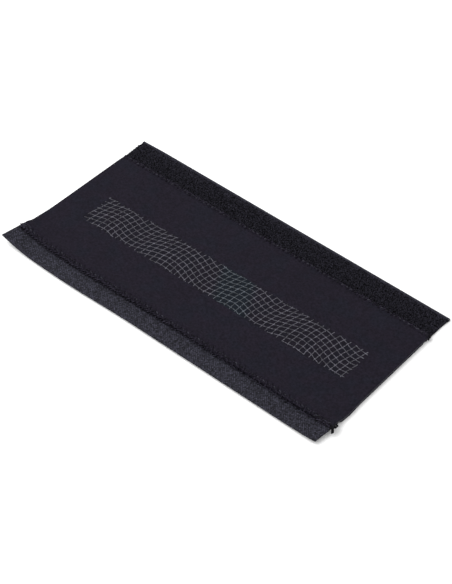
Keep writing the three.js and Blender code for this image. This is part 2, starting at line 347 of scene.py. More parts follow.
def plate(
    xs: np.ndarray, ys: np.ndarray, top: Heights, bottom: Heights, ends: Heights | None = None
) -> Shape:
    """Makes a closed sheet between two height functions.

    Args:
        xs: Places along the guard.
        ys: Places across it.
        top: Height of the upper face at X and Y.
        bottom: Height of the lower face at X and Y.
        ends: Moves X at each X and Y, for ends that are cut at an angle.

    Returns:
        The sheet, with slot 0 on its faces and long edges, slot 1 on its cut ends, and the share of the way
        up through the sheet as a mark.
    """
    x, y = (part.ravel() for part in np.meshgrid(xs, ys, indexing="ij"))
    moved = x if ends is None else ends(x, y)
    upper = np.stack([moved, y, top(x, y)], axis=1)
    lower = np.stack([moved, y, bottom(x, y)], axis=1)
    rows, columns = len(xs), len(ys)
    grid = np.meshgrid(np.arange(rows - 1), np.arange(columns - 1), indexing="ij")
    i, j = (part.ravel() for part in grid)
    a = i * columns + j
    count = rows * columns
    faces = np.stack([a, a + columns, a + columns + 1, a + 1], axis=1)
    under = faces[:, ::-1] + count
    edge = np.arange(rows - 1) * columns
    close = np.stack([edge + count, edge + columns + count, edge + columns, edge], axis=1)
    away = close[:, ::-1] + columns - 1
    step = np.arange(columns - 1)
    left = np.stack([step + 1 + count, step + count, step, step + 1], axis=1)
    right = left[:, ::-1] + (rows - 1) * columns
    cut = np.vstack([left, right])
    skin = np.vstack([faces, under, close, away])
    slots = [0] * len(skin) + [1] * len(cut)
    quads = [tuple(quad) for quad in np.vstack([skin, cut]).tolist()]
    share = np.concatenate([np.ones(count), np.zeros(count)])
    return Shape(np.vstack([upper, lower]), quads, slots, {"share": share})


def steps_between(places: list[float], steps: list[float]) -> np.ndarray:
    """Divides a line into stretches with steps of their own.

    Args:
        places: The stretches' ends, in order.
        steps: The longest step of each stretch.

    Returns:
        Every place on the line, once.
    """
    line = [np.array([places[0]])]
    for start, end, step in zip(places[:-1], places[1:], steps):
        line.append(np.linspace(start, end, max(2, math.ceil((end - start) / step) + 1))[1:])
    return np.concatenate(line)


# Shader nodes


class Wire:
    """The output of a node, with Python's operators for shader maths."""

    def __init__(self, nodes: "Nodes", socket: bpy.types.NodeSocket) -> None:
        """Keeps the socket and the material it belongs to."""
        self.nodes = nodes
        self.socket = socket

    def _maths(self, operation: str, first: "Wire | float", second: "Wire | float") -> "Wire":
        """Adds one Math node.

        Args:
            operation: The node's operation.
            first: Its first value.
            second: Its second value.

        Returns:
            The node's output.
        """
        return self.nodes.add("ShaderNodeMath", {"operation": operation}, {0: first, 1: second})

    def __add__(self, other: "Wire | float") -> "Wire":
        """Adds."""
        return self._maths("ADD", self, other)

    def __radd__(self, other: "Wire | float") -> "Wire":
        """Adds, with the wire second."""
        return self._maths("ADD", other, self)

    def __sub__(self, other: "Wire | float") -> "Wire":
        """Subtracts."""
        return self._maths("SUBTRACT", self, other)

    def __rsub__(self, other: "Wire | float") -> "Wire":
        """Subtracts the wire."""
        return self._maths("SUBTRACT", other, self)

    def __mul__(self, other: "Wire | float") -> "Wire":
        """Multiplies."""
        return self._maths("MULTIPLY", self, other)

    def __rmul__(self, other: "Wire | float") -> "Wire":
        """Multiplies, with the wire second."""
        return self._maths("MULTIPLY", other, self)

    def __truediv__(self, other: "Wire | float") -> "Wire":
        """Divides."""
        return self._maths("DIVIDE", self, other)

    def __rtruediv__(self, other: "Wire | float") -> "Wire":
        """Divides by the wire."""
        return self._maths("DIVIDE", other, self)

    def sine(self) -> "Wire":
        """The sine of the wire."""
        return self.nodes.add("ShaderNodeMath", {"operation": "SINE"}, {0: self})

    def size(self) -> "Wire":
        """The wire without its sign."""
        return self.nodes.add("ShaderNodeMath", {"operation": "ABSOLUTE"}, {0: self})

    def within(self, start: float, end: float) -> "Wire":
        """Rises smoothly from 0 to 1 between two values of the wire.

        Args:
            start: Value that gives 0.
            end: Value that gives 1.

        Returns:
            The eased share.
        """
        settings = {"interpolation_type": "SMOOTHSTEP"}
        inputs = {"Value": self, "From Min": start, "From Max": end}
        return self.nodes.add("ShaderNodeMapRange", settings, inputs)


class Nodes:
    """The node tree of one new material, with a Principled shader."""

    def __init__(self, name: str, roughness: float, specular: float) -> None:
        """Makes the material with the values that are the same all over it.

        Args:
            name: The material's name.
            roughness: The shader's roughness.
            specular: The shader's specular level.
        """
        self.material = bpy.data.materials.new(name)
        self.material.use_nodes = True
        self.tree = self.material.node_tree
        self.shader = self.tree.nodes["Principled BSDF"]
        self.shader.inputs["Roughness"].default_value = roughness
        self.shader.inputs["Specular IOR Level"].default_value = specular

    def add(
        self, kind: str, settings: dict | None = None, inputs: dict | None = None, output: int | str = 0
    ) -> Wire:
        """Adds a node.

        Args:
            kind: The node's type.
            settings: Properties of the node, set first.
            inputs: Values or wires by socket name or number.
            output: The output to return.

        Returns:
            The output as a wire.
        """
        node = self.tree.nodes.new(kind)
        for name, value in (settings or {}).items():
            setattr(node, name, value)
        for socket, value in (inputs or {}).items():
            if isinstance(value, Wire):
                self.tree.links.new(value.socket, node.inputs[socket])
            else:
                node.inputs[socket].default_value = value
        return Wire(self, node.outputs[output])

    def place(self) -> Wire:
        """The surface's place in millimetres, as a vector."""
        metres = self.add("ShaderNodeTexCoord", output="Object")
        return self.add("ShaderNodeVectorMath", {"operation": "SCALE"}, {0: metres, "Scale": 1 / MM})

    def axes(self, place: Wire) -> tuple[Wire, Wire, Wire]:
        """Splits a vector.

        Args:
            place: The vector.

        Returns:
            Its X, Y and Z.
        """
        return tuple(self.add("ShaderNodeSeparateXYZ", {}, {0: place}, name) for name in "XYZ")

    def noise(self, place: Wire, size: float, detail: float = 2.0) -> Wire:
        """Soft noise from 0 to 1.

        Args:
            place: The place in millimetres.
            size: The size of its spots in millimetres.
            detail: How many finer layers it has.

        Returns:
            The noise.
        """
        return self.add("ShaderNodeTexNoise", {}, {"Vector": place, "Scale": 1 / size, "Detail": detail})

    def cells(self, place: Wire, size: float) -> Wire:
        """Distance to the middle of the nearest cell.

        Args:
            place: The place in millimetres.
            size: The size of a cell in millimetres.

        Returns:
            The distance, about 0 to 1.
        """
        return self.add("ShaderNodeTexVoronoi", {}, {"Vector": place, "Scale": 1 / size}, "Distance")

    def scatter(self, column: Wire, row: Wire) -> Wire:
        """A value from 0 to 1 of its own for each cell of a grid.

        Args:
            column: The place along the grid, in cells.
            row: The place across it, in cells.

        Returns:
            The cell's value.
        """
        whole = [self.add("ShaderNodeMath", {"operation": "FLOOR"}, {0: part}) for part in (column, row)]
        cell = self.add("ShaderNodeCombineXYZ", {}, {0: whole[0], 1: whole[1]})
        return self.add("ShaderNodeTexWhiteNoise", {"noise_dimensions": "2D"}, {"Vector": cell}, "Value")

    def attribute(self, name: str) -> Wire:
        """A value that the mesh's points hold."""
        return self.add("ShaderNodeAttribute", {"attribute_name": name}, output="Fac")

    def blend(self, share: Wire | float, first: Wire | Colour, second: Wire | Colour) -> Wire:
        """Mixes two colours.

        Args:
            share: 0 for the first colour, 1 for the second.
            first: A colour.
            second: Another colour.

        Returns:
            The mixed colour.
        """
        values = [(*c, 1.0) if isinstance(c, tuple) else c for c in (first, second)]
        return self.add("ShaderNodeMix", {"data_type": "RGBA"}, {0: share, 6: values[0], 7: values[1]}, 2)

    def tint(self, colour: Wire | Colour, strength: Wire) -> Wire:
        """Makes a colour lighter or darker.

        Args:
            colour: The colour.
            strength: What to multiply it by.

        Returns:
            The colour times the strength.
        """
        return self.add("ShaderNodeVectorMath", {"operation": "SCALE"}, {0: colour, "Scale": strength})

    def finish(self, colour: Wire, height: Wire | None = None, depth: float = 0.1) -> bpy.types.Material:
        """Connects the shader.

        Args:
            colour: The base colour.
            height: The relief from 0 to 1.
            depth: The relief's depth in millimetres.

        Returns:
            The material.
        """
        self.tree.links.new(colour.socket, self.shader.inputs["Base Color"])
        if height is not None:
            bump = self.add("ShaderNodeBump", {}, {"Height": height, "Distance": depth * MM, "Strength": 1.0})
            self.tree.links.new(bump.socket, self.shader.inputs["Normal"])
        return self.material


# Finishes


@dataclass(frozen=True)
class CoolPatch:
    """The patch in the middle of the print that is a cooler colour. Sizes in millimetres."""

    middle: tuple[float, float] = (12.5, -4.0)
    reach: tuple[float, float] = (9.0, 17.0)
    slant: float = 0.5

    def share(self, x: Wire, y: Wire) -> Wire:
        """1 inside the patch, 0 away from it."""
        across = (x - self.middle[0] + (y - self.middle[1]) * self.slant).size()
        return 1 - across.within(*self.reach)


@dataclass(frozen=True)
class JerseyFinish:
    """Fine knitted jersey on the neoprene's faces. Colours are linear, sizes in millimetres."""

    print_middle: tuple[float, float]
    print_half: tuple[float, float]
    colour: Colour = (0.0098, 0.0079, 0.0136)
    cool: Colour = (0.0088, 0.0083, 0.0140)
    printed_cool: Colour = (0.0077, 0.0105, 0.0158)
    wale: float = 0.62
    course: float = 0.5
    depth: float = 0.05
    dye_spot: float = 11.0
    cloud: float = 14.0
    fleck: float = 1.2
    # How much the painted shadow darkens the needle pits.
    painted_pit_shade: float = 0.5
    print_edge: tuple[float, float] = (-0.4, 0.6)
    printed: float = 0.2

    def material(self) -> bpy.types.Material:
        """Builds the knit: ribs of V-shaped stitches with painted shade in their grooves, clouds in the dye,
        painted shadow in the needle pits and a dark print ground.

        Returns:
            The material.
        """
        nodes = Nodes("jersey", roughness=0.95, specular=0.1)
        place = nodes.place()
        x, y, _ = nodes.axes(place)
        rib = (y * (math.pi / self.wale)).sine().size()
        loop = ((x / self.course + rib * 0.5) * TURN).sine() * 0.3 + 0.7
        spots = nodes.noise(place, self.dye_spot, 1.0).within(0.42, 0.66)
        dye = nodes.blend(spots, self.colour, self.cool)
        cloud = nodes.noise(place, self.cloud) * 0.26 + 0.87
        fleck = nodes.noise(place, self.fleck, 3.0) * 1.8 + 0.1
        # Painted shadow in the needle holes: the colour is darkened where the panel's mesh marks them.
        painted_pit_shadow = 1 - nodes.attribute("painted_pit_shadow") * self.painted_pit_shade
        inside = [
            1 - (axis - middle).size().within(half + self.print_edge[0], half + self.print_edge[1])
            for axis, middle, half in zip((x, y), self.print_middle, self.print_half)
        ]
        printed = inside[0] * inside[1]
        ground = 1 - printed * self.printed
        dye = nodes.blend(printed * CoolPatch().share(x, y), dye, self.printed_cool)
        # Painted shade in the knit's grooves (the rib term follows the bump) and painted shadow in the needle
        # pits darken the dye here.
        colour = nodes.tint(dye, cloud * fleck * (rib * 0.12 + 0.92) * painted_pit_shadow * ground)
        return nodes.finish(colour, rib * loop, self.depth)


@dataclass(frozen=True)
class FoamFinish:
    """A cut face: foam between two skins of jersey, or a tape's yarns. Skins are shares of the thickness."""

    name: str = "cut_foam"
    foam: Colour = (0.031, 0.030, 0.038)
    skin: Colour = (0.0065, 0.0060, 0.0085)
    # The lower band is partly real skin and partly painted shade along the bottom of the cut face.
    lower_skin_and_painted_shade: tuple[float, float] = (0.24, 0.36)
    upper_skin: tuple[float, float] = (0.87, 0.95)
    pore: float = 0.32
    grain: float = 0.9
    depth: float = 0.08

    def material(self) -> bpy.types.Material:
        """Builds the foam's pores, with painted shade inside them, and the skins at both faces from the
        sheet's share mark, the lower skin's band widened as painted shade along the bottom of the cut face.

        Returns:
            The material.
        """
        nodes = Nodes(self.name, roughness=0.95, specular=0.1)
        place = nodes.place()
        pores = nodes.cells(place, self.pore)
        share = nodes.attribute("share")
        # The lower skin's band is wider than the upper one's: real jersey skin, widened as painted shade
        # along the bottom of the cut face.
        core = share.within(*self.lower_skin_and_painted_shade) * (1 - share.within(*self.upper_skin))
        grain = nodes.noise(place, self.grain, 3.0) * 0.8 + 0.6
        # Painted shade in the pores: the colour is darker at each pore's middle, where the bump sinks.
        colour = nodes.tint(nodes.blend(core, self.skin, self.foam), grain * (pores * 0.3 + 0.85))
        return nodes.finish(colour, pores, self.depth)


@dataclass(frozen=True)
class WovenTapeFinish:
    """Plain woven nylon tape, seen from the back."""

    colour: Colour = (0.0172, 0.0168, 0.0242)
    warp: float = 0.9
    weft: float = 0.7
    grain: float = 0.8
    slub: float = 3.0
    depth: float = 0.14

    def material(self) -> bpy.types.Material:
        """Builds a plain weave: yarns over and under, painted lighter where they rise and darker where they
        sink, with each crossing's own shade.

        Returns:
            The material.
        """
        nodes = Nodes("woven_tape", roughness=0.85, specular=0.15)
        place = nodes.place()
        x, y, _ = nodes.axes(place)
        column, row = x / self.weft, y / self.warp
        along = (column * math.pi).sine()
        over = (row * math.pi).sine()
        weave = along * over * 0.5 + 0.5
        shade = nodes.scatter(column, row) * 1.4 + 0.3
        grain = nodes.noise(place, self.grain, 1.0).within(0.34, 0.66) * 0.7 + 0.65
        slub = nodes.noise(place, self.slub) * 0.24 + 0.88
        # Painted light and shade: the weave's raised crossings are made lighter and its sunken ones darker,
        # following the bump.
        colour = nodes.tint(self.colour, shade * grain * (weave * 1.4 + 0.3) * slub)
        return nodes.finish(colour, weave, self.depth)


@dataclass(frozen=True)
class PileFinish:
    """Brushed loop pile between two places across the guard, with a woven selvage. In millimetres."""

    inner: float
    outer: float
    colour: Colour = (0.0115, 0.0110, 0.0155)
    selvage: Colour = (0.0260, 0.0255, 0.0345)
    tuft: float = 0.95
    clump: float = 3.2
    yarn: float = 0.7
    # How far past the outer edge the ramp of painted shade across the pile reaches.
    beyond: float = 4.0
    depth: float = 0.35

    def material(self) -> bpy.types.Material:
        """Builds the felted ground that the loops stand on, with painted shade between its tufts and towards
        the seam, where the panel stands above it.

        Returns:
            The material.
        """
        nodes = Nodes("loop_pile", roughness=1.0, specular=0.06)
        place = nodes.place()
        tufts = nodes.noise(place, self.tuft).within(0.4, 0.6)
        clumps = nodes.noise(place, self.clump).within(0.3, 0.7)
        _, y, _ = nodes.axes(place)
        # Painted shade towards the seam: the ground is darker by its inner edge, below the panel, and lighter
        # outwards.
        painted_seam_shade_ramp = y.within(self.inner, self.outer + self.beyond)
        # Painted shade between the tufts as well: the ground's colour is darker where the tufts' bump is low.
        pile = nodes.tint(self.colour, (tufts * 1.7 + 0.2) * (clumps * 0.35 + 0.82) * (painted_seam_shade_ramp * 0.5 + 0.85))
        yarn = nodes.tint(self.selvage, nodes.noise(place, self.yarn, 1.0).within(0.3, 0.7) * 0.5 + 0.75)
        return nodes.finish(nodes.blend(nodes.attribute("selvage"), pile, yarn), tufts, self.depth)


@dataclass(frozen=True)
class FibreFinish:
    """Fine fibres: the pile's loops, or sewing thread."""

    name: str
    colour: Colour
    spot: float
    contrast: float
    roughness: float = 0.95
    specular: float = 0.05
    strand: float = 0.12
    depth: float = 0.03

    def material(self) -> bpy.types.Material:
        """Builds fibres whose shade changes from one to the next.

        Returns:
            The material.
        """
        nodes = Nodes(self.name, self.roughness, self.specular)
        place = nodes.place()
        spots = nodes.noise(place, self.spot).within(0.36, 0.64)
        shade = spots * (2 * self.contrast) + (1 - self.contrast)
        strand = nodes.noise(place, self.strand, 1.0)
        colour = nodes.tint(self.colour, shade * (strand * 0.5 + 0.75))
        return nodes.finish(colour, strand, self.depth)


@dataclass(frozen=True)
class HookFinish:
    """The hooks' monofilament."""

    colour: Colour = (0.022, 0.022, 0.028)
    spot: float = 2.0

    def material(self) -> bpy.types.Material:
        """Builds smooth nylon with a little change of shade.

        Returns:
            The material.
        """
        nodes = Nodes("hook_nylon", roughness=0.4, specular=0.4)
        shade = nodes.noise(nodes.place(), self.spot) * 0.5 + 0.75
        return nodes.finish(nodes.tint(self.colour, shade))


@dataclass(frozen=True)
class InkFinish:
    """The printed net's raised ink: grey, with a cooler patch in the middle of the guard."""

    colour: Colour = (0.0545, 0.0525, 0.0650)
    cool: Colour = (0.0450, 0.0525, 0.0620)
    brighter: float = 0.0007
    grain: float = 0.7
    # Size of the painted glints on the ink.
    painted_glint_size: float = 1.1
    patch: float = 9.0
    depth: float = 0.04

    def material(self) -> bpy.types.Material:
        """Builds the ink, a little paler where two lines cross, with brighter spots painted as the reflective
        ink's glints.

        Returns:
            The material.
        """
        nodes = Nodes("print_ink", roughness=0.6, specular=0.2)
        place = nodes.place()
        x, y, _ = nodes.axes(place)
        cool = CoolPatch().share(x, y)
        crossing = nodes.attribute("crossing")
        grain = nodes.noise(place, self.grain, 3.0)
        # Painted glints: spots where the ink's colour is made brighter, standing in for the light the
        # reflective ink throws back.
        painted_glints = nodes.noise(place, self.painted_glint_size, 1.0).within(0.56, 0.66)
        patches = (nodes.noise(place, self.patch, 1.0) * 0.5 + 0.75) * (x * self.brighter + 0.97)
        strength = (crossing * 0.3 + 0.8) * (grain.within(0.36, 0.64) * 1.3 + 0.25) * patches + painted_glints * 0.75
        colour = nodes.tint(nodes.blend(cool, self.colour, self.cool), strength)
        return nodes.finish(colour, grain, self.depth)


# The sheet and its tapes


@dataclass(frozen=True)
class StitchLine:
    """The row of needle holes of one seam: its step, its distance from the edge and its threads' lean."""

    side: Side
    lie: Lie
    pitch: float
    inside: float
    lean: float
    pit_width: float
    pit_length: float
    pit_depth: float

    def stitches(self) -> np.ndarray:
        """X of each stitch, half way from its hole to the edge."""
        count = math.floor((self.lie.length - 1) / self.pitch)
        return (np.arange(count) - (count - 1) / 2) * self.pitch

    def distance(self, y: np.ndarray) -> np.ndarray:
        """Distance of each Y from the panel's edge on this side."""
        return self.lie.far - self.side.value * y

    def across(self, inside: np.ndarray | float) -> np.ndarray | float:
        """Y of a place this far onto the panel from its edge."""
        return self.side.value * (self.lie.far - inside)

    def leaning(self, inside: np.ndarray) -> np.ndarray:
        """How far along the seam a leaning thread is at each distance from the edge."""
        return self.lean * (0.5 - inside / self.inside)

    def pits(self, x: np.ndarray, y: np.ndarray) -> np.ndarray:
        """Where the needle holes are: 1 in the middle of a hole, 0 away from it.

        Args:
            x: Places along the guard.
            y: Places across it.

        Returns:
            The share of each place.
        """
        inside = self.distance(y)
        phase = (x - self.leaning(inside) - self.stitches()[0]) / self.pitch
        off = (phase - np.round(phase)) * self.pitch
        reach = (inside - self.inside + 0.3) / self.pit_length
        return np.exp(-((off / self.pit_width) ** 2) - reach**2)


@dataclass
class Panel:
    """The neoprene panel, pinched where the seams squeeze it."""

    lie: Lie
    lines: tuple[StitchLine, StitchLine]
    thickness: float = 3.0
    pinched: float = 1.6
    near_underside: float = 2.3
    far_underside: float = 1.3
    near_lap: float = 6.3
    far_lap: float = 4.3
    ramp: float = 5.0
    under_ramp: float = 4.0
    pull_width: float = 1.2
    pull_depth: float = 0.18
    edge_round: float = 0.7
    cut_round: float = 0.15
    cut_reach: float = 0.5
    bulge: float = 0.5
    bulge_at: float = -32.0
    bulge_width: float = 7.0
    left_swell: float = 0.35
    left_swell_from: tuple[float, float] = (-40.0, -30.0)
    swell_reach: float = 8.0
    print_middle: tuple[float, float] = (1.5, -1.55)
    print_half: tuple[float, float] = (105.0, 13.65)

    def top(self, x: np.ndarray, y: np.ndarray) -> np.ndarray:
        """Height of the printed face.

        Args:
            x: Places along the guard.
            y: Places across it.

        Returns:
            The height at each place.
        """
        near, far = (line.distance(y) for line in self.lines)
        near_top = self.near_underside + self.pinched
        far_top = self.far_underside + self.pinched
        sloped = 1 - ease(near, self.near_lap - 1, self.near_lap + self.ramp)
        height = self.thickness + (near_top - self.thickness) * sloped
        height += (far_top - self.thickness) * (1 - ease(far, self.far_lap - 1, self.far_lap + self.ramp))
        for line, inside in zip(self.lines, (near, far)):
            pull = ridge(inside, line.inside, self.pull_width)
            height -= line.pit_depth * line.pits(x, y) + self.pull_depth * pull
            height -= self.edge_round * rounding(inside, self.edge_round)
        return height - self.cut(x)

    def bottom(self, x: np.ndarray, y: np.ndarray) -> np.ndarray:
        """Height of the plain face.

        Args:
            x: Places along the guard.
            y: Places across it.

        Returns:
            The height at each place.
        """
        near, far = (line.distance(y) for line in self.lines)
        lift = self.near_underside * (1 - ease(near, self.near_lap, self.near_lap + self.under_ramp))
        lift += self.far_underside * (1 - ease(far, self.far_lap, self.far_lap + self.under_ramp))
        return lift + self.cut(x)

    def cut(self, x: np.ndarray) -> np.ndarray:
        """How much the skins turn in at the cut ends."""
        return self.cut_round * (1 - ease(self.lie.right - np.abs(x), 0, self.cut_reach))

    def ends(self, x: np.ndarray, y: np.ndarray) -> np.ndarray:
        """Moves X where the ends swell out: the right one beside the near seam, the left one away from it.

        Args:
            x: Places along the guard.
            y: Places across it.

        Returns:
            The moved places.
        """
        start = self.lie.right - self.swell_reach
        right = self.bulge * ridge(y, self.bulge_at, self.bulge_width)
        left = self.left_swell * ease(y, *self.left_swell_from) * ease(-x, start, self.lie.right)
        return x + right * ease(x, start, self.lie.right) - left

    def build(self) -> bpy.types.Object:
        """Builds and dresses the panel.

        Returns:
            The panel.
        """
        right, far = self.lie.right, self.lie.far
        xs = steps_between([-right, -right + 0.5, right - 0.5, right], [0.25, 0.5, 0.25])
        places = [-far, -far + 1, -far + 7, -far + 14, far - 12, far - 6, far - 1, far]
        ys = steps_between(places, [0.2, 0.5, 1, 4, 1, 0.5, 0.2])
        shape = plate(xs, ys, self.top, self.bottom, self.ends)
        x, y, _ = shape.points.T
        pits = sum(line.pits(x, y) for line in self.lines)
        # The needle holes' mark, on the printed face only; the jersey darkens the colour there as painted
        # shadow.
        shape.marks["painted_pit_shadow"] = pits * (shape.marks["share"] > 0.5)
        middle = (self.print_middle[0] + self.lie.origin_x, self.print_middle[1] + self.lie.origin_y)
        jersey = JerseyFinish(middle, self.print_half).material()
        panel = shape.piece("neoprene_cloth", self.lie, [jersey, FoamFinish().material()])
        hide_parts("neoprene_panel")
        flat = (self.lie.width * MM, self.lie.length * MM)
        return panel


@dataclass
class HookTape:
    """The near tape: a woven web with its hooks underneath."""

    lie: Lie
    width: float = 20.0
    lap: float = 6.0
    backing: float = 0.8
    hook_height: float = 1.2
    selvage: float = 1.5
    left_at_seam: float = 0.8
    right_inset: float = 1.5
    edge_turn: float = 0.3
    edge_reach: float = 0.35
    cord_height: float = 0.12
    cord_at: float = 0.7
    cord_width: float = 0.45
    yarn_height: float = 0.02
    yarn_pitch: tuple[float, float] = (1.4, 2.1)
    row_pitch: float = 1.55
    hook_pitch: float = 1.9
    hook_radius: float = 0.11
    hook_bend: float = 0.34
    hook_lean: float = 0.25
    hook_loose: tuple[float, float] = (0.06, 0.05)
    bare_end: float = 2.0

    @property
    def outer(self) -> float:
        """Y of the tape's outer edge."""
        return self.lap - self.width - self.lie.far

    def ends(self, x: np.ndarray, y: np.ndarray) -> np.ndarray:
        """Moves X so that both ends are cut at an angle.

        Args:
            x: Places along the guard, on the panel's length.
            y: Places across it.

        Returns:
            The places with the slanted cuts.
        """
        outwards = (-self.lie.far - y) / (self.width - self.lap)
        left = self.left_at_seam + (self.lie.overhang - self.left_at_seam) * outwards
        right = self.right_inset * np.maximum(outwards, 0)
        share = (x + self.lie.right) / self.lie.length
        return x - left * (1 - share) - right * share

    def from_edge(self, y: np.ndarray) -> np.ndarray:
        """Distance of each Y from the nearer long edge of the web."""
        return np.minimum(y - self.outer, self.outer + self.width - y)

    def turned(self, edge: np.ndarray) -> np.ndarray:
        """How much the web's faces turn in at a distance from its edge."""
        return self.edge_turn * rounding(edge, self.edge_reach)

    def top(self, x: np.ndarray, y: np.ndarray) -> np.ndarray:
        """Height of the woven back, with a raised cord along each selvage.

        Args:
            x: Places along the guard.
            y: Places across it.

        Returns:
            The height at each place.
        """
        edge = self.from_edge(y)
        cord = self.cord_height * ridge(edge, self.cord_at, self.cord_width)
        weft, warp = self.yarn_pitch
        yarn = self.yarn_height * np.sin(TURN * x / weft) * np.sin(TURN * y / warp)
        return self.hook_height + self.backing + cord - self.turned(edge) + yarn

    def bottom(self, x: np.ndarray, y: np.ndarray) -> np.ndarray:
        """Height of the web's underside."""
        return self.hook_height + self.turned(self.from_edge(y))

    def web(self) -> bpy.types.Object:
        """Builds the woven web.

        Returns:
            The web.
        """
        right = self.lie.right
        xs = steps_between([-right, right], [0.7])
        outer = self.outer
        places = [outer, outer + 1.6, outer + self.width - 1.6, outer + self.width]
        ys = steps_between(places, [0.16, 0.7, 0.16])
        shape = plate(xs, ys, self.top, self.bottom, self.ends).dressed(0)
        web = shape.piece("hook_tape_web", self.lie, [WovenTapeFinish().material()])
        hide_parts("hook_tape")
        return web

    def hooks(self) -> bpy.types.Object:
        """Builds the field of hooks, in rows that bend alternately to either side.

        Returns:
            The hooks, as one piece.
        """
        draw = np.random.default_rng(7)
        band = self.width - 2 * self.selvage - 2 * self.hook_bend
        rows = math.floor(band / self.row_pitch) + 1
        first = self.outer + self.width / 2 - (rows - 1) * self.row_pitch / 2
        columns = math.floor((self.lie.length - 2 * self.bare_end) / self.hook_pitch)
        grid = np.meshgrid(np.arange(columns), np.arange(rows), indexing="ij")
        column, row = (part.ravel() for part in grid)
        x = (column - (columns - 1) / 2 + 0.5 * (row % 2)) * self.hook_pitch
        x = x + draw.normal(0, self.hook_loose[0], column.size)
        y = first + row * self.row_pitch + draw.normal(0, self.hook_loose[1], column.size)
        x = self.ends(x, y)
        way = np.where(row % 2 == 0, 1.0, -1.0)
        bend = self.hook_bend
        # One hook's outline: how far it stands to its side, and its height from the web's underside.
        middle = bend + self.hook_radius - self.hook_height
        stem = np.array([[0.0, 0.05], [0.02, -0.4], [0.0, middle]])
        angles = np.radians([40, 90, 140, 200, 240])
        arc = np.stack([bend - bend * np.cos(angles), middle - bend * np.sin(angles)], axis=1)
        profile = np.vstack([stem, arc])
        paths = np.zeros((column.size, len(profile), 3))
        paths[:, :, 0] = x[:, None] + self.hook_lean * way[:, None] * profile[None, :, 0]
        paths[:, :, 1] = y[:, None] + way[:, None] * (profile[None, :, 0] - bend)
        paths[:, :, 2] = self.hook_height + profile[None, :, 1]
        shape = sweep(paths, self.hook_radius, 5)
        field_of_hooks = shape.piece("hook_field", self.lie, [HookFinish().material()])
        return field_of_hooks

    def build(self) -> list[bpy.types.Object]:
        """Builds and dresses the tape, with its hooks on it.

        Returns:
            The web and the hooks.
        """
        web, hooks = self.web(), self.hooks()
        flat = (self.width * MM, self.lie.length * MM)
        return [web, hooks]


